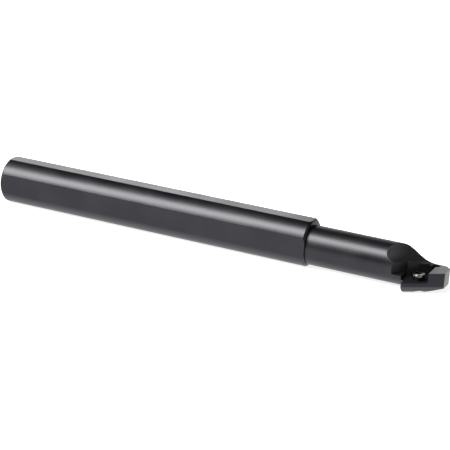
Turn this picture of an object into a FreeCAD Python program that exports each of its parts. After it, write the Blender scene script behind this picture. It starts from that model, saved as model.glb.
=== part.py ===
import FreeCAD, Part
import math
import os
import re
import Sketcher

os.makedirs("parts", exist_ok=True)

# Internal back boring bar with a round shank, for a 55 degree rhombic insert.
# X runs along the bar to its nose, Z is up, and the shank's axis is Y = Z = 0.
# X = 0 is the shoulder where the shank steps down to the neck.
doc = FreeCAD.newDocument("boring_bar")

sizes = doc.addObject("Spreadsheet::Sheet", "sizes")
driving = [
    # shank
    ("shankDia", 20, "shank diameter"),
    ("shankLength", 143.5, "shank, rear end to shoulder"),
    ("flatDepth", 0.5, "depth of the top and bottom flats"),
    ("sideDepth", 0.95, "depth of the clamping flat on the side"),
    ("rearChamfer", 1, "chamfer round the rear end"),
    ("shoulderChamfer", 0.8, "chamfer round the shoulder"),
    # neck and head
    ("neckStep", 1.8, "neck slimmer than the shank, on the radius"),
    ("neckDrop", 0.86, "neck centre below the shank's axis"),
    ("headReach", 56.5, "shoulder to the nose's end face"),
    # insert that the pocket is made for
    ("insertSide", 11.63, "length of the insert's side"),
    ("insertAngle", 55, "acute corner of the insert"),
    ("insertThick", 3.97, "thickness of the insert"),
    ("edgeHeight", -1, "top of the insert, from the axis"),
    ("noseLength", 5.6, "pocket's end wall to the nose's end face"),
    ("backWall", 1.6, "pocket's back corner in from the neck's side"),
    ("pocketClear", 0.6, "pocket past the insert towards the gullet"),
    ("reliefDia", 3.2, "relief hole in the pocket's back corner"),
    ("reliefBack", 0.65, "relief hole's centre, from the corner along the diagonal"),
    # head round the pocket
    ("noseTop", -0.8, "top of the nose block, from the axis"),
    ("supportInset", 0.35, "support stands back from the insert's edge"),
    ("supportClear", 0.1, "support's underside above the bottom flat"),
    ("supportRound", 3, "round along the support's lower edge"),
    ("supportCorner", 0.6, "round on the support's corner"),
    ("noseBevel", 2.3, "height of the bevel under the nose"),
    ("noseBevelRun", 8, "length of the bevel under the nose"),
    ("noseCorner", 2.4, "bevel on the nose's far corner"),
    # chip gullet
    ("gulletBack", 20.5, "gullet's wall back from the pocket's end wall, square to the gullet"),
    ("gulletAngle", 32, "turn of the gullet from square across the bar"),
    ("gulletRise", 6.3, "climb of the gullet towards the cutting side, in degrees"),
    ("gulletRadius", 7.3, "radius of the gullet's foot"),
    ("runoutFloor", -3.2, "chip run-out floor, from the axis"),
    ("runoutBack", 14.2, "run-out at the bar's side back from the pocket's end wall"),
    # clamp screw
    ("screwDia", 3.5, "screw thread"),
    ("threadGap", 0.05, "gap round the screw's thread in its hole"),
    ("screwHead", 5.7, "screw head diameter"),
    ("screwRise", 2.75, "screw head above the pocket floor"),
    ("screwRim", 0.9, "straight rim of the screw head"),
    ("screwCone", 60, "angle of the screw head's cone"),
    ("screwReach", 3.2, "thread below the screw's cone"),
    ("recessDia", 3.3, "recess across its lobes"),
    ("recessDepth", 1.3, "depth of the recess"),
    ("lobeDia", 0.75, "diameter of each lobe"),
    ("rimBreak", 0.25, "broken edge of the head and of the tip"),
    ("exitDia", 7.4, "sunk exit of the screw hole under the support"),
    ("exitDepth", 1.4, "depth of the sunk exit"),
]
for row, (alias, value, note) in enumerate(driving, start=1):
    sizes.set("A%d" % row, str(value))
    sizes.setAlias("A%d" % row, alias)
    sizes.set("B%d" % row, note)

# sizes worked out from the driving ones
worked = [
    ("flatHeight", "=shankDia / 2 - flatDepth"),
    ("sideFlatDepth", "=shankDia / 2 - sideDepth"),
    ("neckDia", "=shankDia - 2 * neckStep"),
    ("cornerX", "=headReach - noseLength"),
    ("cornerY", "=neckDia / 2 - backWall"),
    ("runoutStart", "=cornerX - runoutBack"),
    ("supportBase", "=supportClear - flatHeight"),
    # the insert's sides run along Y and along this slope to the bar
    ("slopeX", "=sin(insertAngle * 1deg)"),
    ("slopeY", "=cos(insertAngle * 1deg)"),
    ("screwX", "=cornerX - insertSide * slopeX / 2"),
    ("screwY", "=cornerY - insertSide * (1 + slopeY) / 2"),
    ("pocketFloor", "=edgeHeight - insertThick"),
    ("screwTop", "=pocketFloor + screwRise"),
    ("coneSlope", "=tan(screwCone * 0.5deg)"),
    ("coneDrop", "=(screwHead - screwDia) / 2 / coneSlope"),
    ("mouthDia", "=screwHead - 2 * (screwRise - screwRim) * coneSlope + 2 * threadGap"),
    ("seatDia", "=max(mouthDia; screwDia + 4 * threadGap)"),
    ("seatX", "=cornerX - insertSide * slopeX - pocketClear"),
    ("seatY", "=cornerY - (cornerX - seatX) * slopeY / slopeX"),
    ("supportX", "=cornerX - insertSide * slopeX + supportInset"),
    ("supportY", "=cornerY - insertSide - (cornerX - supportX) * slopeY / slopeX + supportInset / slopeX"),
    ("sideAcross", "=slopeX * (cornerY - insertSide) - slopeY * cornerX + supportInset"),
    ("sideTurn", "=90 - insertAngle"),
    ("turnSlope", "=tan(gulletAngle * 1deg)"),
    ("wallSlope", "=slopeY / slopeX"),
    ("wallStart", "=cornerY - cornerX * wallSlope"),
    ("runoutX", "=(runoutStart + (wallStart + neckDia / 2) * turnSlope) / (1 - turnSlope * wallSlope)"),
    ("runoutY", "=wallStart + runoutX * wallSlope"),
    ("runoutFoot", "=runoutStart - (shankDia - neckDia / 2) * turnSlope"),
    # the gullet is level with the nose's top where its foot leaves the bar's far side
    ("turnSin", "=sin(gulletAngle * 1deg)"),
    ("turnCos", "=cos(gulletAngle * 1deg)"),
    ("gulletFoot", "=cornerX - gulletBack + gulletRadius"),
    ("footRun", "=(gulletFoot * turnSin + neckDia / 2) / turnCos"),
    ("gulletLevel", "=noseTop + footRun * tan(gulletRise * 1deg)"),
    ("reliefX", "=cornerX - reliefBack * sin(insertAngle * 0.5deg)"),
    ("reliefY", "=cornerY - reliefBack * cos(insertAngle * 0.5deg)"),
    ("neckBottom", "=-neckDrop - neckDia / 2"),
    ("screwLength", "=screwRim + coneDrop + screwReach"),
]
for row, (alias, formula) in enumerate(worked, start=len(driving) + 1):
    sizes.set("A%d" % row, formula)
    sizes.setAlias("A%d" % row, alias)
doc.recompute()
aliases = [entry[0] for entry in driving + worked]


# the formula with each alias named through the sheet
def bound(formula):
    names = sorted(aliases, key=len, reverse=True)
    pattern = re.compile(r"\b(" + "|".join(names) + r")\b")
    return pattern.sub(r"sizes.\1", formula)


# the formula's value now, worked out by the sheet
def valueOf(formula):
    sizes.set("D1", "=" + formula)
    sizes.recompute()
    return float(sizes.get("D1"))


def newBody(label):
    body = doc.addObject("PartDesign::Body", label)
    body.Label = label
    return body


# sketch on one of the body's own origin planes, lifted or turned about Z by a bound size
def newSketch(body, role, name, lift=None, turn=None):
    sketch = body.newObject("Sketcher::SketchObject", name)
    plane = [f for f in body.Origin.OriginFeatures if f.Role == role][0]
    sketch.AttachmentSupport = [(plane, "")]
    sketch.MapMode = "FlatFace"
    if turn:
        start = FreeCAD.Rotation(FreeCAD.Vector(0, 1, 0), valueOf(turn))
        sketch.AttachmentOffset = FreeCAD.Placement(FreeCAD.Vector(), start)
        sketch.setExpression("AttachmentOffset.Rotation.Angle", bound(turn))
    if lift:
        sketch.setExpression("AttachmentOffset.Base.z", bound(lift))
    return sketch


# holds a point at two bound distances from the sketch's origin
def tie(sketch, geometry, point, across, up):
    for kind, formula in (("DistanceX", across), ("DistanceY", up)):
        rule = Sketcher.Constraint(kind, -1, 1, geometry, point, valueOf(formula))
        number = sketch.addConstraint(rule)
        sketch.setExpression("Constraints[%d]" % number, bound(formula))


# straight outline through corners, each a pair of formulas across and up
def drawOutline(sketch, corners, closed=True):
    spots = [FreeCAD.Vector(valueOf(across), valueOf(up), 0) for across, up in corners]
    count = len(corners) if closed else len(corners) - 1
    lines = []
    for i in range(count):
        line = Part.LineSegment(spots[i], spots[(i + 1) % len(spots)])
        lines.append(sketch.addGeometry(line))
        tie(sketch, lines[i], 1, *corners[i])
    for i in range(count - 1):
        sketch.addConstraint(Sketcher.Constraint("Coincident", lines[i], 2, lines[i + 1], 1))
    if closed:
        sketch.addConstraint(Sketcher.Constraint("Coincident", lines[-1], 2, lines[0], 1))
    else:
        tie(sketch, lines[-1], 2, *corners[-1])
    return lines


def drawCircle(sketch, across, up, diameter):
    spot = FreeCAD.Vector(valueOf(across), valueOf(up), 0)
    circle = sketch.addGeometry(Part.Circle(spot, FreeCAD.Vector(0, 0, 1), valueOf(diameter) / 2))
    tie(sketch, circle, 3, across, up)
    number = sketch.addConstraint(Sketcher.Constraint("Diameter", circle, valueOf(diameter)))
    sketch.setExpression("Constraints[%d]" % number, bound(diameter))


# round that closes an open outline, from its last line under to its first
def drawArc(sketch, across, up, radius, outline, sweep=math.pi / 2):
    middle = FreeCAD.Vector(valueOf(across), valueOf(up), 0)
    circle = Part.Circle(middle, FreeCAD.Vector(0, 0, 1), valueOf(radius))
    arc = sketch.addGeometry(Part.ArcOfCircle(circle, math.pi, math.pi + sweep))
    sketch.addConstraint(Sketcher.Constraint("Coincident", arc, 1, outline[-1], 2))
    sketch.addConstraint(Sketcher.Constraint("Coincident", arc, 2, outline[0], 1))
    number = sketch.addConstraint(Sketcher.Constraint("DistanceY", -1, 1, arc, 3, valueOf(up)))
    sketch.setExpression("Constraints[%d]" % number, bound(up))


def pad(body, sketch, name, length, reverse=False):
    feature = body.newObject("PartDesign::Pad", name)
    feature.Profile = sketch
    feature.setExpression("Length", bound(length))
    feature.Reversed = reverse
    doc.recompute()
    return feature


# pocket of a bound depth, or through all to one side, or through to both sides along a direction
def cut(body, sketch, name, length=None, reverse=False, through=False, along=None):
    before = body.Shape.Volume
    feature = body.newObject("PartDesign::Pocket", name)
    feature.Profile = sketch
    feature.Reversed = reverse
    feature.Midplane = through
    if length:
        feature.setExpression("Length", bound(length))
    else:
        feature.Type = "ThroughAll"
    if along:
        feature.UseCustomVector = True
        feature.Direction = FreeCAD.Vector(*[valueOf(part) for part in along])
        for axis, part in zip("xyz", along):
            feature.setExpression("Direction." + axis, bound(part))
    doc.recompute()
    if body.Shape.Volume > before - 0.01:
        raise ValueError(name + " cuts nothing")
    return feature


# fillet on the body's edges for which wanted() holds
def roundEdges(body, name, wanted, radius):
    base = body.Tip
    picked = ["Edge%d" % (i + 1) for i, edge in enumerate(base.Shape.Edges) if wanted(edge)]
    feature = body.newObject("PartDesign::Fillet", name)
    feature.Base = (base, picked)
    feature.setExpression("Radius", bound(radius))
    doc.recompute()
    return feature


# one steel bar: shank, neck and head
bar = newBody("bar_body")

# block that stands out of the neck on the cutting side and carries the insert
support = newSketch(bar, "XY_Plane", "support_plan", lift="noseTop")
drawOutline(support, [
    ("supportX", "supportY"),
    ("headReach", "supportY"),
    ("headReach", "0"),
    ("supportX", "0"),
])
pad(bar, support, "support", "noseTop - supportBase", reverse=True)

# the block's side runs along the insert's side and turns under in a round
side = newSketch(bar, "YZ_Plane", "side_section", turn="sideTurn")
face = drawOutline(side, [
    ("sideAcross + supportRound", "supportBase"),
    ("sideAcross + supportRound", "-shankDia"),
    ("sideAcross - shankDia", "-shankDia"),
    ("sideAcross - shankDia", "shankDia"),
    ("sideAcross", "shankDia"),
    ("sideAcross", "supportBase + supportRound"),
], closed=False)
drawArc(side, "sideAcross + supportRound", "supportBase + supportRound", "supportRound", face)
cut(bar, side, "support_side", through=True)


def onCorner(edge):
    box = edge.BoundBox
    low = valueOf("supportY") + valueOf("supportCorner") / 2
    return box.XMax < valueOf("supportX") + 0.01 and box.YMin < low and box.ZLength > 1


roundEdges(bar, "support_corner", onCorner, "supportCorner")

# neck, a little below the shank's axis so that the head clears a small bore
neck = newSketch(bar, "YZ_Plane", "neck_section")
drawCircle(neck, "0", "-neckDrop", "neckDia")
pad(bar, neck, "neck", "headReach")
cut(bar, side, "nose_side", through=True)

# turned shank with both its chamfers
shank = newSketch(bar, "XZ_Plane", "shank_profile")
drawOutline(shank, [
    ("-shankLength", "0"),
    ("-shankLength", "shankDia / 2 - rearChamfer"),
    ("-shankLength + rearChamfer", "shankDia / 2"),
    ("-shoulderChamfer", "shankDia / 2"),
    ("0", "shankDia / 2 - shoulderChamfer"),
    ("0", "0"),
])
turned = bar.newObject("PartDesign::Revolution", "shank")
turned.Profile = shank
turned.ReferenceAxis = (shank, ["H_Axis"])
turned.Angle = 360
doc.recompute()

# clamping flats: top and bottom, and one on the cutting side
flats = newSketch(bar, "YZ_Plane", "flat_sections")
for side in ("", "-"):
    drawOutline(flats, [
        ("-shankDia / 4", side + "flatHeight"),
        ("shankDia / 4", side + "flatHeight"),
        ("shankDia / 4", side + "shankDia"),
        ("-shankDia / 4", side + "shankDia"),
    ])
drawOutline(flats, [
    ("-sideFlatDepth", "-shankDia / 4"),
    ("-sideFlatDepth", "shankDia / 4"),
    ("-shankDia", "shankDia / 4"),
    ("-shankDia", "-shankDia / 4"),
])
cut(bar, flats, "clamping_flats", "shankLength")

# the nose: its far corner and its underside are bevelled
corner = newSketch(bar, "XY_Plane", "nose_corner_plan")
drawOutline(corner, [
    ("headReach - noseCorner", "neckDia / 2"),
    ("headReach + noseCorner", "neckDia / 2"),
    ("headReach + noseCorner", "neckDia / 2 - 2 * noseCorner"),
])
cut(bar, corner, "nose_corner", through=True)
under = newSketch(bar, "XZ_Plane", "nose_bevel_profile")
drawOutline(under, [
    ("headReach - noseBevelRun", "supportBase"),
    ("headReach + noseBevelRun", "supportBase"),
    ("headReach + noseBevelRun", "supportBase + 2 * noseBevel"),
])
cut(bar, under, "nose_bevel", through=True)

# insert pocket: two walls at the insert's angle, with a relief hole in their corner
seat = newSketch(bar, "XY_Plane", "pocket_plan", lift="pocketFloor")
drawOutline(seat, [
    ("cornerX", "cornerY"),
    ("seatX", "seatY"),
    ("seatX", "-shankDia"),
    ("cornerX", "-shankDia"),
])
cut(bar, seat, "insert_pocket", reverse=True)
relief = newSketch(bar, "XY_Plane", "relief_plan", lift="pocketFloor")
drawCircle(relief, "reliefX", "reliefY", "reliefDia")
cut(bar, relief, "corner_relief", reverse=True)

# flat on top of the nose, from the gullet's foot onwards
level = newSketch(bar, "XZ_Plane", "nose_top_profile", turn="-gulletAngle")
drawOutline(level, [
    ("gulletFoot", "noseTop"),
    ("headReach + shankDia", "noseTop"),
    ("headReach + shankDia", "shankDia"),
    ("gulletFoot", "shankDia"),
])
cut(bar, level, "nose_top", through=True)

# chip gullet, milled slantwise across the bar with a round cutter that climbs to the cutting side
gullet = newSketch(bar, "XZ_Plane", "gullet_profile", turn="-gulletAngle")
wall = drawOutline(gullet, [
    ("gulletFoot + gulletRadius", "gulletLevel + gulletRadius"),
    ("gulletFoot + gulletRadius", "gulletLevel + 2 * shankDia"),
    ("gulletFoot - gulletRadius", "gulletLevel + 2 * shankDia"),
    ("gulletFoot - gulletRadius", "gulletLevel + gulletRadius"),
], closed=False)
drawArc(gullet, "gulletFoot", "gulletLevel + gulletRadius", "gulletRadius", wall, sweep=math.pi)
cut(bar, gullet, "chip_gullet", through=True, along=("turnSin", "turnCos", "-tan(gulletRise * 1deg)"))

# chip run-out in front of the insert, open to the cutting side
runout = newSketch(bar, "XY_Plane", "runout_plan", lift="runoutFloor")
drawOutline(runout, [
    ("cornerX", "cornerY"),
    ("runoutX", "runoutY"),
    ("runoutFoot", "-shankDia"),
    ("cornerX", "-shankDia"),
])
cut(bar, runout, "chip_runout", reverse=True)

# threaded hole right through the support, its mouth sunk for the screw's cone
thread = newSketch(bar, "XY_Plane", "screw_hole_plan", lift="pocketFloor")
drawCircle(thread, "screwX", "screwY", "screwDia + 2 * threadGap")
doc.recompute()
hole = bar.newObject("PartDesign::Hole", "screw_hole")
hole.Profile = thread
hole.setExpression("Diameter", bound("screwDia + 2 * threadGap"))
hole.DepthType = "ThroughAll"
hole.HoleCutType = "Countersink"
hole.HoleCutCustomValues = True
hole.setExpression("HoleCutDiameter", bound("seatDia"))
hole.setExpression("HoleCutCountersinkAngle", bound("screwCone"))
doc.recompute()

# sunk exit of the hole under the support
outlet = newSketch(bar, "XY_Plane", "hole_exit_plan", lift="supportBase + exitDepth")
drawCircle(outlet, "screwX", "screwY", "exitDia")
cut(bar, outlet, "hole_exit")

# clamp screw, left in the empty pocket: cone head with a six-lobe recess
screw = newBody("clamp_screw")
screw.setExpression("Placement.Base.x", "sizes.screwX")
screw.setExpression("Placement.Base.y", "sizes.screwY")
screw.setExpression("Placement.Base.z", "sizes.screwTop")
blank = newSketch(screw, "XZ_Plane", "screw_profile")
drawOutline(blank, [
    ("0", "0"),
    ("screwHead / 2 - rimBreak", "0"),
    ("screwHead / 2", "-rimBreak"),
    ("screwHead / 2", "-screwRim"),
    ("screwDia / 2", "-screwRim - coneDrop"),
    ("screwDia / 2", "-screwLength + rimBreak"),
    ("screwDia / 2 - rimBreak", "-screwLength"),
    ("0", "-screwLength"),
])
lathe = screw.newObject("PartDesign::Revolution", "screw_blank")
lathe.Profile = blank
lathe.ReferenceAxis = (blank, ["V_Axis"])
lathe.Angle = 360
doc.recompute()
core = newSketch(screw, "XY_Plane", "recess_core_plan")
drawCircle(core, "0", "0", "recessDia - lobeDia")
cut(screw, core, "recess_core", "recessDepth")
lobe = newSketch(screw, "XY_Plane", "lobe_plan")
drawCircle(lobe, "(recessDia - lobeDia) / 2", "0", "lobeDia")
oneLobe = cut(screw, lobe, "recess_lobe", "recessDepth")
lobes = screw.newObject("PartDesign::PolarPattern", "recess_lobes")
lobes.Originals = [oneLobe]
upright = [f for f in screw.Origin.OriginFeatures if f.Role == "Z_Axis"][0]
lobes.Axis = (upright, [""])
lobes.Angle = 360
lobes.Occurrences = 6
screw.Tip = lobes
doc.recompute()

for thing in doc.Objects:
    if "Invalid" in thing.State or "Error" in thing.State:
        raise ValueError("%s is %s" % (thing.Label, thing.State))
for body in (bar, screw):
    if body.Shape.isNull() or not body.Shape.isValid() or len(body.Shape.Solids) != 1:
        raise ValueError(body.Label + " is not one valid solid")
    print(body.Label, "volume", round(body.Shape.Volume, 1), "box", body.Shape.BoundBox)
    body.Shape.exportStep("parts/" + body.Label + ".step")
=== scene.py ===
import bpy, bmesh, math
from mathutils import Matrix, Vector


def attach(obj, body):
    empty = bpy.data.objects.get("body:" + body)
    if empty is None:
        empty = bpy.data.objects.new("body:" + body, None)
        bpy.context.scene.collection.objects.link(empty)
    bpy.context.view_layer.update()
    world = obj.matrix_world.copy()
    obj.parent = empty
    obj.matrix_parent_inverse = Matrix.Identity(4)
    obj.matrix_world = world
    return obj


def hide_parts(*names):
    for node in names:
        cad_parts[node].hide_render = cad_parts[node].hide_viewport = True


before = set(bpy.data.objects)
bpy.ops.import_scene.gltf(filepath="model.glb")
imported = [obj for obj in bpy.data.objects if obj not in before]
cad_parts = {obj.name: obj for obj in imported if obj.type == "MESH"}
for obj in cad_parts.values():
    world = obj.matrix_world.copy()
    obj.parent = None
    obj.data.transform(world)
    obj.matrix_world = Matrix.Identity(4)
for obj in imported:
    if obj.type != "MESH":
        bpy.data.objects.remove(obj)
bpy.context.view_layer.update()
scene = bpy.context.scene
mm = 0.001
noiseLow, noiseHigh = 0.3, 0.7   # nearly all of a noise texture lies between these


# sRGB as written to the linear values that Blender works in
def hexColour(code):
    parts = [int(code[i:i + 2], 16) / 255 for i in (1, 3, 5)]
    linear = [p / 12.92 if p <= 0.04045 else ((p + 0.055) / 1.055) ** 2.4 for p in parts]
    return (*linear, 1.0)


def addNode(tree, kind, settings=None, inputs=None):
    node = tree.nodes.new(kind)
    for name, value in (settings or {}).items():
        setattr(node, name, value)
    for name, value in (inputs or {}).items():
        if isinstance(value, bpy.types.NodeSocket):
            tree.links.new(value, node.inputs[name])
        else:
            node.inputs[name].default_value = value
    return node


def newMaterial(name):
    material = bpy.data.materials.new(name)
    material.use_nodes = True
    tree = material.node_tree
    tree.nodes.clear()
    return material, tree


# the bar: one bar of steel, turned and milled, then chemically blackened
barLook = {
    "colour": "#444449",         # black oxide over steel, faintly blue
    "rubbed": "#4c4c50",         # the same, rubbed thinner by handling
    "lowReflection": "#545458",        # low on the bar, lighter: a painted reflection of the paper below
    "head": "#3b3b40",           # the head, darker: painted shade that dims its reflections
    "underReflection": "#5b5b5d",        # under the support, lighter: a painted reflection
    "noseTopSheen": "#57575a",        # on top of the nose, lighter: a painted sheen
    "bare": "#6d6c6a",           # the ground end of the nose, where the oxide is thin
    "deep": "#18181b",           # in the gullet and the pocket: painted shade, near black
    "gulletSheen": "#45454b",          # painted sheen at the upper start of the gullet
    "turnedGloss": 0.37,         # roughness of the turned faces
    "milledGloss": 0.30,         # roughness of the milled faces
    "deepGloss": 0.50,           # roughness in the gullet and the pocket
    "glossDrift": 0.035,         # how much the gloss wanders over the oxide
    "cloud": 14.0,               # mm, size of the oxide's clouds
    "cloudDetail": 1.5,          # kept low, as finer clouds look like specks of dust
    "rubbedFrom": 0.35,          # where the clouds' noise is less, the oxide is whole
    "turnedPitch": 0.6,          # mm, real feed marks are 0.15 mm and would not show
    "milledPitch": 0.9,          # mm, cutter marks, drawn coarser than the real 0.3 mm
    "milledLength": 12.0,        # mm
    "milledTurn": 62.0,          # degrees, the cutter crosses the bar slantwise
    "markDepth": 0.003,          # mm
    "markBump": 0.35,            # strength of the marks
    "deepBump": 0.5,             # and in the gullet and the pocket
    "lowReflectionBelow": -5.0,        # mm from the axis
    "lowReflectionFade": 0.8,          # mm each way
    "headFrom": 34.0,            # mm along the bar, past this the head's tint
    "gulletSheenTo": 37.0,             # mm along the bar, up to here the gullet's painted sheen
    "gulletSheenToFade": 2.5,          # mm each way
    "gulletSheenAbove": 2.5,           # mm from the axis, and only above this
    "gulletSheenAboveFade": 1.0,       # mm each way
    "bareFrom": 56.35,           # mm along the bar, where the bare end starts
    "underReflectionBelow": -6.5,            # mm from the axis, the head's underside
    "underReflectionBelowFade": 0.3,         # mm each way
    "noseTopSheenAbove": -1.0,            # mm from the axis, the nose's top
    "lineFade": 0.1,             # mm each way, where the tint changes at an edge
    "edge": 0.24,                # mm, broken edges that catch the light
}


# the oxide's tint before and after a place on one axis, in mm (a negative fade swaps the sides)
def tintPast(tree, coordinate, place, fade, before, after):
    past = addNode(tree, "ShaderNodeMapRange", inputs={
        "Value": coordinate, "From Min": (place - fade) * mm, "From Max": (place + fade) * mm})
    return addNode(tree, "ShaderNodeMix", {"data_type": "RGBA"}, {
        0: past.outputs["Result"], 6: before, 7: after}).outputs[2]  # 6, 7 and 2 carry colours


# steel blackened with a thin oxide: dark, faintly blue, and still satin metal in the light
def makeOxideSteel(name, gloss, marks):
    material, tree = newMaterial(name)
    place = addNode(tree, "ShaderNodeTexCoord").outputs["Object"]
    across = addNode(tree, "ShaderNodeSeparateXYZ", inputs={"Vector": place})
    clouds = addNode(tree, "ShaderNodeTexNoise", inputs={
        "Vector": place, "Scale": 1 / (barLook["cloud"] * mm),
        "Detail": barLook["cloudDetail"]})
    rubbed = addNode(tree, "ShaderNodeMapRange", inputs={
        "Value": clouds.outputs["Fac"], "From Min": barLook["rubbedFrom"], "From Max": noiseHigh})
    tint = addNode(tree, "ShaderNodeMix", {"data_type": "RGBA"}, {
        0: rubbed.outputs["Result"], 6: hexColour(barLook["colour"]),
        7: hexColour(barLook["rubbed"])}).outputs[2]
    along, up = across.outputs["X"], across.outputs["Z"]
    fade = barLook["lineFade"]
    if marks is milledMarks:
        # the head's underside is painted lighter, a painted reflection
        head = tintPast(tree, up, barLook["underReflectionBelow"], -barLook["underReflectionBelowFade"],
                        hexColour(barLook["head"]), hexColour(barLook["underReflection"]))
        # the head's top is painted lighter, a painted sheen
        head = tintPast(tree, up, barLook["noseTopSheenAbove"], fade, head, hexColour(barLook["noseTopSheen"]))
        head = tintPast(tree, along, barLook["bareFrom"], fade, head, hexColour(barLook["bare"]))
        # past headFrom the head takes its painted shade and the marks above
        tint = tintPast(tree, along, barLook["headFrom"], fade, tint, head)
    else:
        # turned faces low on the bar are painted lighter, a painted reflection
        tint = tintPast(tree, up, barLook["lowReflectionBelow"], -barLook["lowReflectionFade"],
                        tint, hexColour(barLook["lowReflection"]))
    rough = addNode(tree, "ShaderNodeMapRange", inputs={
        "Value": clouds.outputs["Fac"], "From Min": noiseLow, "From Max": noiseHigh,
        "To Min": gloss - barLook["glossDrift"], "To Max": gloss + barLook["glossDrift"]})
    bump = addNode(tree, "ShaderNodeBump", inputs={
        "Strength": barLook["markBump"], "Distance": barLook["markDepth"] * mm,
        "Height": marks(tree, place)})
    shader = addNode(tree, "ShaderNodeBsdfPrincipled", inputs={
        "Base Color": tint, "Metallic": 1.0, "Roughness": rough.outputs["Result"],
        "Normal": bump.outputs["Normal"]})
    addNode(tree, "ShaderNodeOutputMaterial", inputs={"Surface": shader.outputs["BSDF"]})
    return material


# painted shade in the gullet and the pocket: a near-black matt coat, not metal, that shows no steel
def makeDeepShade():
    material, tree = newMaterial("paintedShadeOxide")
    place = addNode(tree, "ShaderNodeTexCoord").outputs["Object"]
    bump = addNode(tree, "ShaderNodeBump", inputs={
        "Strength": barLook["deepBump"], "Distance": barLook["markDepth"] * mm,
        "Height": milledMarks(tree, place)})
    across = addNode(tree, "ShaderNodeSeparateXYZ", inputs={"Vector": place})
    deep = hexColour(barLook["deep"])
    # the gullet's upper start is painted lighter, a painted sheen
    tint = tintPast(tree, across.outputs["X"], barLook["gulletSheenTo"], barLook["gulletSheenToFade"],
                    hexColour(barLook["gulletSheen"]), deep)
    tint = tintPast(tree, across.outputs["Z"], barLook["gulletSheenAbove"], -barLook["gulletSheenAboveFade"],
                    tint, deep)
    shader = addNode(tree, "ShaderNodeBsdfPrincipled", inputs={
        "Base Color": tint, "Roughness": barLook["deepGloss"], "Normal": bump.outputs["Normal"]})
    addNode(tree, "ShaderNodeOutputMaterial", inputs={"Surface": shader.outputs["BSDF"]})
    return material


# rings round the bar, left by the lathe tool: they draw the highlight out lengthwise
def turnedMarks(tree, place):
    waveUnit = 2 * math.pi / 20  # a wave texture of scale 1 has this pitch
    rings = addNode(tree, "ShaderNodeTexWave", {"bands_direction": "X"}, {
        "Vector": place, "Scale": waveUnit / (barLook["turnedPitch"] * mm)})
    return rings.outputs["Fac"]


# slantwise streaks on the head and the flats, left by the milling cutter: a finely scored face
def milledMarks(tree, place):
    wide, long = barLook["milledPitch"] * mm, barLook["milledLength"] * mm
    turned = addNode(tree, "ShaderNodeMapping", {"vector_type": "TEXTURE"}, {
        "Vector": place, "Rotation": (0, 0, math.radians(barLook["milledTurn"])),
        "Scale": (wide, long, long)})
    streaks = addNode(tree, "ShaderNodeTexNoise", inputs={
        "Vector": turned.outputs["Vector"], "Scale": 1.0, "Detail": 1.0})
    return streaks.outputs["Fac"]


# the clamp screw: cold-headed steel, bright, so it shows lamps and dark room sharply
screwLook = {
    "colour": "#6c6a68",
    "gloss": 0.18,               # roughness
    "glossDrift": 0.03,          # how much it wanders over the head
    "grain": 0.8,                # mm, handling marks
    "grainDetail": 3.0,
    "edge": 0.04,                # mm, broken edges
}


def makeBrightSteel():
    material, tree = newMaterial("brightHeadedSteel")
    place = addNode(tree, "ShaderNodeTexCoord").outputs["Object"]
    grain = addNode(tree, "ShaderNodeTexNoise", inputs={
        "Vector": place, "Scale": 1 / (screwLook["grain"] * mm),
        "Detail": screwLook["grainDetail"]})
    rough = addNode(tree, "ShaderNodeMapRange", inputs={
        "Value": grain.outputs["Fac"], "From Min": noiseLow, "From Max": noiseHigh,
        "To Min": screwLook["gloss"] - screwLook["glossDrift"],
        "To Max": screwLook["gloss"] + screwLook["glossDrift"]})
    shader = addNode(tree, "ShaderNodeBsdfPrincipled", inputs={
        "Base Color": hexColour(screwLook["colour"]), "Metallic": 1.0,
        "Roughness": rough.outputs["Result"]})
    addNode(tree, "ShaderNodeOutputMaterial", inputs={"Surface": shader.outputs["BSDF"]})
    return material


turnedSteel = makeOxideSteel("blackenedTurnedSteel", barLook["turnedGloss"], turnedMarks)
milledSteel = makeOxideSteel("blackenedMilledSteel", barLook["milledGloss"], milledMarks)
deepShadeOxide = makeDeepShade()
brightSteel = makeBrightSteel()
print("materials made")


# how a piece's mesh is worked, angles in degrees
meshWork = {
    "doubles": 0.002,            # mm, points nearer than this are merged
    "flatWithin": 0.5,           # facets this nearly in one plane become one face
    "sharpFrom": 24.0,           # edges that shade sharp
    "threadSharpFrom": 40.0,
    "breakFrom": 25.0,           # edges that are broken
    "breakSteps": 2,
    "square": 0.99,              # a face that looks this nearly one way counts as square to it
    "under": -0.1,               # a face whose normal dips below this looks down
}


# copy of a node's mesh, its doubles merged, what lies below a height cut off, its edges broken
def dressNode(node, name, materials, edgeWidth, cutBelow=None):
    mesh = bpy.data.objects[node].data.copy()
    shape = bmesh.new()
    shape.from_mesh(mesh)
    bmesh.ops.remove_doubles(shape, verts=shape.verts, dist=meshWork["doubles"] * mm)
    bmesh.ops.dissolve_limit(shape, angle_limit=math.radians(meshWork["flatWithin"]),
                             verts=shape.verts, edges=shape.edges)
    if cutBelow is not None:
        parts = shape.verts[:] + shape.edges[:] + shape.faces[:]
        bmesh.ops.bisect_plane(shape, geom=parts, plane_co=(0, 0, cutBelow * mm),
                               plane_no=(0, 0, 1), clear_inner=True)
        bmesh.ops.holes_fill(shape, edges=[edge for edge in shape.edges if edge.is_boundary])
    shape.to_mesh(mesh)
    shape.free()
    mesh.materials.clear()
    for material in materials:
        mesh.materials.append(material)
    mesh.shade_smooth()
    mesh.set_sharp_from_angle(angle=math.radians(meshWork["sharpFrom"]))
    piece = bpy.data.objects.new(name, mesh)
    scene.collection.objects.link(piece)
    broken = piece.modifiers.new("brokenEdges", "BEVEL")
    broken.width = edgeWidth * mm
    broken.segments = meshWork["breakSteps"]
    broken.limit_method = "ANGLE"
    broken.angle_limit = math.radians(meshWork["breakFrom"])
    broken.harden_normals = True
    finished = bpy.data.meshes.new_from_object(
        piece.evaluated_get(bpy.context.evaluated_depsgraph_get()))
    piece.modifiers.clear()
    piece.data = finished
    finished.name = name
    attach(piece, "root")
    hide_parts(node)
    return piece


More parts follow.
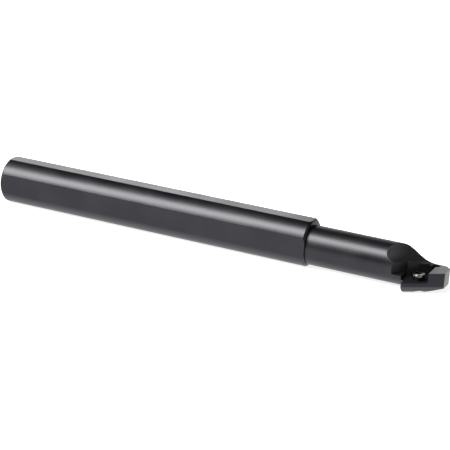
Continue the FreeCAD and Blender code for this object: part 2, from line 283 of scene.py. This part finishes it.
# where the bar's own faces lie, in mm, to tell how each was made
barForm = {
    "neckDrop": 0.86,            # the neck's axis below the shank's
    "neckRadius": 8.2,
    "shankRadius": 10.0,
    "flatHeight": 9.5,
    "sideFlat": 9.05,
    "headStart": 31.0,           # along the bar, the gullet starts past this
    "noseStart": 44.0,
    "endStart": 55.0,            # only the nose's end lies past this
    "pocketFloor": -4.97,
    "noseTop": -0.8,
    "sideNormal": (0.574, -0.819),  # the support's side, square to it seen from above
    "sideReach": 32.0,           # from the origin that way, just under the side's own 33
    "match": 0.12,               # a face this near to one of these lies on it
    "roundMatch": 0.03,          # and a point this near to a cylinder
}


# 0 where the lathe made the face, 1 where the cutter did, 2 inside the gullet and the pocket
def finishOf(face):
    x, y, z = face.center / mm
    near, square = barForm["match"], meshWork["square"]
    normal = face.normal
    if x < near:
        onFlat = abs(z) > barForm["flatHeight"] - near and abs(normal.z) > square
        return int(onFlat or (y < near - barForm["sideFlat"] and normal.y < -square))
    if abs(math.hypot(y, z + barForm["neckDrop"]) - barForm["neckRadius"]) < near:
        return 0
    onTop = abs(z - barForm["noseTop"]) < near and normal.z > square
    onNose = onTop and x > barForm["noseStart"]
    onSide = x * barForm["sideNormal"][0] + y * barForm["sideNormal"][1] > barForm["sideReach"]
    inside = x > barForm["headStart"] and z > barForm["pocketFloor"] - near
    under = normal.z < meshWork["under"]
    outer = onNose or onSide or under or x > barForm["endStart"]
    return 2 if inside and not outer else 1


# true round normals on the turned cylinders, whose facets are few, and true flat ones on the flats
def roundNormals(mesh):
    normals = [corner.vector.copy() for corner in mesh.corner_normals]
    for face in mesh.polygons:
        onNeck = face.center.x > 0
        drop = barForm["neckDrop"] * mm if onNeck else 0.0
        radius = (barForm["neckRadius"] if onNeck else barForm["shankRadius"]) * mm
        onFlat = face.material_index == 1 and not onNeck
        for loop in face.loop_indices:
            if onFlat:
                normals[loop] = face.normal.copy()
                continue
            point = mesh.vertices[mesh.loops[loop].vertex_index].co
            radial = Vector((0, point.y, point.z + drop))
            onRound = abs(radial.length - radius) < barForm["roundMatch"] * mm
            if onRound and radial.normalized().dot(face.normal) > meshWork["square"]:
                normals[loop] = radial.normalized()
    mesh.normals_split_custom_set(normals)


bar = dressNode("bar_body", "barBody", [turnedSteel, milledSteel, deepShadeOxide], barLook["edge"])
for face in bar.data.polygons:
    face.material_index = finishOf(face)
roundNormals(bar.data)


# the screw's rolled thread: one ridge that winds down the shank, inside the solid's plain shank
screwThread = {
    "crestRadius": 1.70,         # mm
    "rootRadius": 1.43,
    "pitch": 0.6,
    "top": -5.4,                 # mm, height under the head's cone
    "end": -8.225,
    "centreX": 46.137,
    "centreY": -2.550,
    "sides": 48,
    "rows": 84,
}


def makeThreadTree(material):
    tree = bpy.data.node_groups.new("rolledThread", "GeometryNodeTree")
    tree.interface.new_socket("Geometry", in_out="OUTPUT", socket_type="NodeSocketGeometry")
    for name, value in screwThread.items():
        kind = "NodeSocketInt" if isinstance(value, int) else "NodeSocketFloat"
        tree.interface.new_socket(name, in_out="INPUT", socket_type=kind)
    size = addNode(tree, "NodeGroupInput").outputs
    length = addNode(tree, "ShaderNodeMath", {"operation": "SUBTRACT"}, {
        0: size["top"], 1: size["end"]})
    low = addNode(tree, "ShaderNodeMath", {"operation": "MULTIPLY"}, {
        0: length.outputs[0], 1: -0.5})
    middle = addNode(tree, "ShaderNodeMath", {"operation": "ADD"}, {
        0: size["top"], 1: low.outputs[0]})
    faded = addNode(tree, "ShaderNodeMath", {"operation": "ADD"}, {
        0: low.outputs[0], 1: size["pitch"]})
    shank = addNode(tree, "GeometryNodeMeshCylinder", {"fill_type": "NGON"}, {
        "Vertices": size["sides"], "Side Segments": size["rows"], "Radius": size["crestRadius"],
        "Depth": length.outputs[0]})
    place = addNode(tree, "ShaderNodeSeparateXYZ", inputs={
        0: addNode(tree, "GeometryNodeInputPosition").outputs[0]}).outputs
    angle = addNode(tree, "ShaderNodeMath", {"operation": "ARCTAN2"}, {
        0: place["Y"], 1: place["X"]})
    turns = addNode(tree, "ShaderNodeMath", {"operation": "DIVIDE"}, {
        0: angle.outputs[0], 1: 2 * math.pi})
    drop = addNode(tree, "ShaderNodeMath", {"operation": "DIVIDE"}, {
        0: place["Z"], 1: size["pitch"]})
    winding = addNode(tree, "ShaderNodeMath", {"operation": "SUBTRACT"}, {
        0: drop.outputs[0], 1: turns.outputs[0]})
    ramp = addNode(tree, "ShaderNodeMath", {"operation": "FRACT"}, {0: winding.outputs[0]})
    ridge = addNode(tree, "ShaderNodeMath", {"operation": "PINGPONG"}, {0: ramp.outputs[0], 1: 0.5})
    entry = addNode(tree, "ShaderNodeMapRange", inputs={  # the thread grows out of the screw's end
        "Value": place["Z"], "From Min": low.outputs[0], "From Max": faded.outputs[0],
        "To Max": 2.0})          # the ridge runs from 0 to a half, and this makes it 0 to 1
    height = addNode(tree, "ShaderNodeMath", {"operation": "MULTIPLY"}, {
        0: ridge.outputs[0], 1: entry.outputs[0]})
    radius = addNode(tree, "ShaderNodeMapRange", inputs={
        "Value": height.outputs[0], "To Min": size["rootRadius"], "To Max": size["crestRadius"]})
    share = addNode(tree, "ShaderNodeMath", {"operation": "DIVIDE"}, {
        0: radius.outputs[0], 1: size["crestRadius"]})
    across = [addNode(tree, "ShaderNodeMath", {"operation": "MULTIPLY"}, {
        0: place[axis], 1: share.outputs[0]}).outputs[0] for axis in ("X", "Y")]
    point = addNode(tree, "ShaderNodeCombineXYZ", inputs={
        "X": across[0], "Y": across[1], "Z": place["Z"]})
    wound = addNode(tree, "GeometryNodeSetPosition", inputs={
        "Geometry": shank.outputs["Mesh"], "Position": point.outputs[0]})
    centre = addNode(tree, "ShaderNodeCombineXYZ", inputs={
        "X": size["centreX"], "Y": size["centreY"], "Z": middle.outputs[0]})
    placed = addNode(tree, "GeometryNodeTransform", inputs={
        "Geometry": wound.outputs[0], "Translation": centre.outputs[0]})
    real = addNode(tree, "GeometryNodeRealizeInstances", inputs={"Geometry": placed.outputs[0]})
    steel = addNode(tree, "GeometryNodeSetMaterial", inputs={
        "Geometry": real.outputs[0], "Material": material})
    addNode(tree, "NodeGroupOutput", inputs={"Geometry": steel.outputs[0]})
    return tree


def windThread():
    thread = bpy.data.objects.new("clampThread", bpy.data.meshes.new("clampThread"))
    scene.collection.objects.link(thread)
    winder = thread.modifiers.new("windThread", "NODES")
    winder.node_group = makeThreadTree(brightSteel)
    for socket in winder.node_group.interface.items_tree:
        if socket.in_out == "INPUT":
            value = screwThread[socket.name]
            winder[socket.identifier] = value if isinstance(value, int) else value * mm
    wound = bpy.data.meshes.new_from_object(
        thread.evaluated_get(bpy.context.evaluated_depsgraph_get()))
    thread.modifiers.clear()
    thread.data = wound
    wound.name = "clampThread"
    wound.shade_smooth()
    wound.set_sharp_from_angle(angle=math.radians(meshWork["threadSharpFrom"]))
    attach(thread, "root")
    return thread


threadInside = 0.1               # mm, how far the thread reaches up into the screw
screw = dressNode("clamp_screw", "clampScrew", [brightSteel], screwLook["edge"],
                  screwThread["top"] - threadInside)
thread = windThread()
print("pieces dressed", *(len(piece.data.polygons) for piece in (bar, screw, thread)))


# camera: placed by fitting the photo's edges
cameraPlace = {
    "position": (200.65, -540.2, 194.5),  # mm
    "aim": (-38.5, -1.4, 0.0),            # mm, a point on the picture's centre line of sight
    "roll": -4.2,                         # degrees
    "lens": 120.06,                       # mm
    "sensor": 36.0,                       # mm
}
cameraData = bpy.data.cameras.new("camera")
cameraData.lens = cameraPlace["lens"]
cameraData.sensor_width = cameraPlace["sensor"]
camera = bpy.data.objects.new("camera", cameraData)
scene.collection.objects.link(camera)
eye = Vector(cameraPlace["position"]) * mm
sight = (Vector(cameraPlace["aim"]) * mm - eye).normalized()
level = sight.to_track_quat("-Z", "Y").to_matrix().to_4x4()
turn = Matrix.Rotation(math.radians(cameraPlace["roll"]), 4, "Z")
camera.matrix_world = Matrix.Translation(eye) @ level @ turn.inverted()
scene.camera = camera


# one sheet of white paper, swept up behind the bar, in mm
studio = {
    "floorDrop": 9.5,            # the bar lies on its lower flat
    "floorWidth": 4500,
    "floorFront": -1500,
    "floorBack": 1700,
    "sweepBend": 300,
    "sweepSteps": 12,
    "sweepRise": 420,            # top of the backdrop
    "white": "#f6f6f6",
    "paperGlow": 0.82,           # what the camera sees on top of the lit paper
    "mirroredPaper": 1.0,        # what metal mirrors of it before the bar
    "mirroredBehind": 0.5,       # and of the paper behind it, dimmed there as painted shade
    "shadeFrom": 350,            # behind the bar
    "shadeFade": 300,            # each way
    "air": "#424349",            # the dim room above
}


# matt white paper: the camera sees it as white; for the metal's reflections it glows, dimmer behind
# the bar as painted shade
def makePaper():
    material, tree = newMaterial("whitePaper")
    path = addNode(tree, "ShaderNodeLightPath")
    paper = addNode(tree, "ShaderNodeBsdfDiffuse", inputs={"Color": hexColour(studio["white"])})
    glow = addNode(tree, "ShaderNodeEmission", inputs={"Strength": studio["paperGlow"]})
    seen = addNode(tree, "ShaderNodeAddShader")
    tree.links.new(glow.outputs[0], seen.inputs[0])
    tree.links.new(paper.outputs[0], seen.inputs[1])
    place = addNode(tree, "ShaderNodeTexCoord").outputs["Object"]
    behind = addNode(tree, "ShaderNodeSeparateXYZ", inputs={"Vector": place}).outputs["Y"]
    shade = addNode(tree, "ShaderNodeMapRange", inputs={
        "Value": behind, "From Min": (studio["shadeFrom"] - studio["shadeFade"]) * mm,
        "From Max": (studio["shadeFrom"] + studio["shadeFade"]) * mm,
        "To Min": studio["mirroredPaper"], "To Max": studio["mirroredBehind"]})
    mirrored = addNode(tree, "ShaderNodeEmission", inputs={"Strength": shade.outputs["Result"]})
    first = addNode(tree, "ShaderNodeMixShader", inputs={0: path.outputs["Is Camera Ray"]})
    tree.links.new(paper.outputs[0], first.inputs[1])
    tree.links.new(seen.outputs[0], first.inputs[2])
    second = addNode(tree, "ShaderNodeMixShader", inputs={0: path.outputs["Is Glossy Ray"]})
    tree.links.new(first.outputs[0], second.inputs[1])
    tree.links.new(mirrored.outputs[0], second.inputs[2])
    addNode(tree, "ShaderNodeOutputMaterial", inputs={"Surface": second.outputs[0]})
    return material


def makeFloor():
    drop, back, bend = (studio[k] * mm for k in ("floorDrop", "floorBack", "sweepBend"))
    rows = [(studio["floorFront"] * mm, -drop)]
    steps = studio["sweepSteps"]
    for i in range(steps + 1):
        angle = math.radians(90 * i / steps)
        rows.append((back + bend * math.sin(angle), bend * (1 - math.cos(angle)) - drop))
    rows.append((back + bend, studio["sweepRise"] * mm - drop))
    half = studio["floorWidth"] / 2 * mm
    points = [(side * half, y, z) for y, z in rows for side in (-1, 1)]
    faces = [(2 * i, 2 * i + 1, 2 * i + 3, 2 * i + 2) for i in range(len(rows) - 1)]
    mesh = bpy.data.meshes.new("floor")
    mesh.from_pydata(points, [], faces)
    mesh.shade_smooth()
    mesh.materials.append(makePaper())
    floor = bpy.data.objects.new("floor", mesh)
    scene.collection.objects.link(floor)


# soft lamps, in mm, watts and degrees
lamps = {
    "softboxFront": {            # its roll sets how the long highlight runs along the bar
        "at": (-540, -671, 995), "aim": (-40, 0, 0), "size": (1300, 570),
        "watts": 25.5, "colour": "#fffff8", "roll": 46},
    "stripBehind": {             # the pale sheen on the rear of the top flat
        "at": (-860, 1200, 440), "aim": (-860, 0, 0), "size": (840, 420), "watts": 2.5},
    "cardNose": {                # the pale top of the nose
        "at": (-255, 1200, 440), "aim": (-255, 0, 0), "size": (150, 420), "watts": 0.34},
    "cardRight": {               # draws the round form where it is seen from behind
        "at": (950, -150, 950), "aim": (-40, 0, 0), "size": (600, 700), "watts": 2.5,
        "mirroredOnly": True},
}


def makeLamp(name, given):
    data = bpy.data.lights.new(name, "AREA")
    data.shape = "RECTANGLE"
    data.size, data.size_y = (side * mm for side in given["size"])
    data.energy = given["watts"]
    data.color = hexColour(given.get("colour", "#ffffff"))[:3]
    lamp = bpy.data.objects.new(name, data)
    lamp.location = Vector(given["at"]) * mm
    facing = (Vector(given["aim"]) - Vector(given["at"])).to_track_quat("-Z", "Y").to_matrix()
    roll = Matrix.Rotation(math.radians(given.get("roll", 0)), 3, "Z")
    lamp.rotation_euler = (facing @ roll).to_euler()
    lamp.visible_diffuse = not given.get("mirroredOnly", False)
    scene.collection.objects.link(lamp)


makeFloor()
for name, given in lamps.items():
    makeLamp(name, given)
world = bpy.data.worlds.new("studioAir")
scene.world = world
world.use_nodes = True
air = world.node_tree
air.nodes.clear()
path = addNode(air, "ShaderNodeLightPath")
soft = addNode(air, "ShaderNodeBackground", inputs={"Color": hexColour(studio["air"])})
white = addNode(air, "ShaderNodeBackground", inputs={"Color": hexColour("#ffffff")})
pick = addNode(air, "ShaderNodeMixShader", inputs={0: path.outputs["Is Camera Ray"]})
air.links.new(soft.outputs[0], pick.inputs[1])
air.links.new(white.outputs[0], pick.inputs[2])
addNode(air, "ShaderNodeOutputWorld", inputs={"Surface": pick.outputs[0]})
scene.view_settings.view_transform = "Standard"
print("studio lit")
